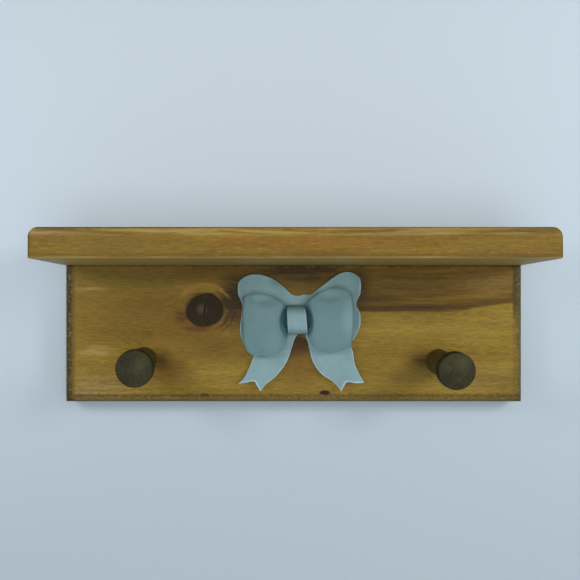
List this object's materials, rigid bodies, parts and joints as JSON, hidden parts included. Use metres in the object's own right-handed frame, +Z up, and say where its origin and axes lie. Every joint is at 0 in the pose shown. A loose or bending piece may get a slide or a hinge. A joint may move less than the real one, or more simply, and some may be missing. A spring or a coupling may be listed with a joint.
{
  "type": "peg shelf",
  "caption": "Small wall shelf: a waxed pine plank on a back board with turned pegs, a dark knot and a painted folded bow, hung on keyhole plates.",
  "frame": {"origin": "middle of the back board's rear face, which lies against the wall", "axes": "+X to the right along the boards, +Y into the wall, +Z up; the front looks towards -Y"},
  "size_m": [0.34, 0.1, 0.121],
  "materials": {
    "stained_pine": "waxed",
    "stained_pine_plank": "waxed",
    "dead_knot": "waxed",
    "dark_dowel": "waxed",
    "aged_steel": "aged",
    "zinc_plate": "satin",
    "zinc_screw": "satin",
    "bow_paint": "matt",
    "brass_pin": "satin"
  },
  "bodies": {
    "root": {"back_board": "stained_pine", "shelf_board": "stained_pine_plank", "knot": "dead_knot", "peg_left": "dark_dowel", "peg_right": "dark_dowel", "shelf_screws": "aged_steel", "keyhole_plate_left": "zinc_plate", "keyhole_plate_right": "zinc_plate", "keyhole_screws": "zinc_screw", "bow_back": "bow_paint", "bow_tail_left": "bow_paint", "bow_tail_right": "bow_paint", "bow_loops": "bow_paint", "bow_band": "bow_paint", "bow_pins": "brass_pin"}
  },
  "joints": []
}
